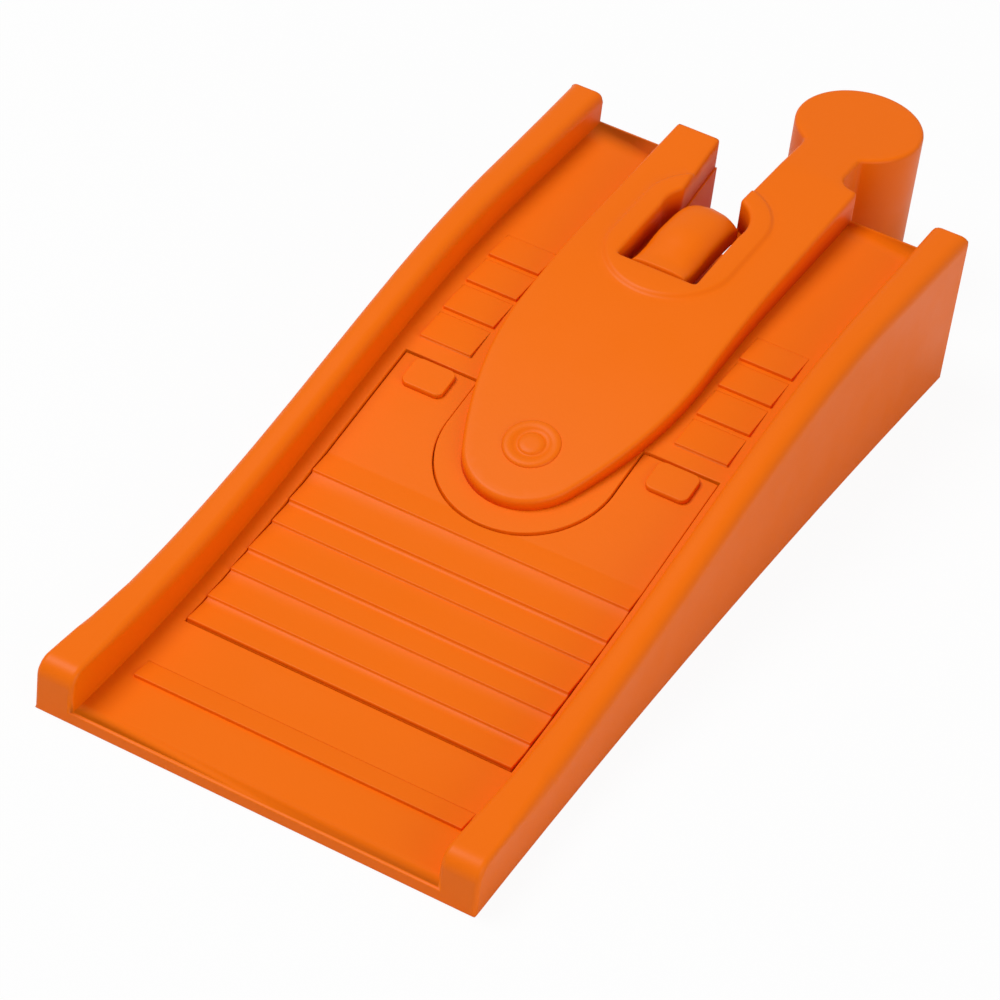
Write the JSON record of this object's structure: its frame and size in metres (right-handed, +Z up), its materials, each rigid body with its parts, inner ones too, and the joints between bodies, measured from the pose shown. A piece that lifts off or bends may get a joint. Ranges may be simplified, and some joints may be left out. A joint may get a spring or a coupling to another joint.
{
  "type": "toy railway end ramp",
  "caption": "Small moulded end ramp with side curbs, wheel channels, a teardrop centre guide, a coupling peg and an open socket with a spring finger.",
  "frame": {"origin": "centre of the bounding box's footprint, on the plane the ramp stands on", "axes": "+Z up, -Y out of the thin toe where a vehicle drives on, +Y out of the coupling peg, +X to the right of someone looking along +Y"},
  "size_m": [0.04, 0.0998, 0.0155],
  "materials": {
    "orange_plastic": "satin injection-moulded plastic, coloured through"
  },
  "bodies": {
    "ramp": {"ramp_shell": "orange_plastic", "tread_plate": "orange_plastic", "clip_lugs": "orange_plastic", "centre_guide": "orange_plastic", "guide_rivet": "orange_plastic"},
    "tongue": {"latch_tongue": "orange_plastic"}
  },
  "joints": [
    {"name": "tongue_flex", "type": "hinge", "parent": "ramp", "child": "tongue", "pos_m": [0, 0.0156, 0.01298], "axis": [1, 0, 0], "range_deg": [-8, 0], "stiffness_Nm_per_rad": 0.02, "springref_deg": 2.86}
  ]
}
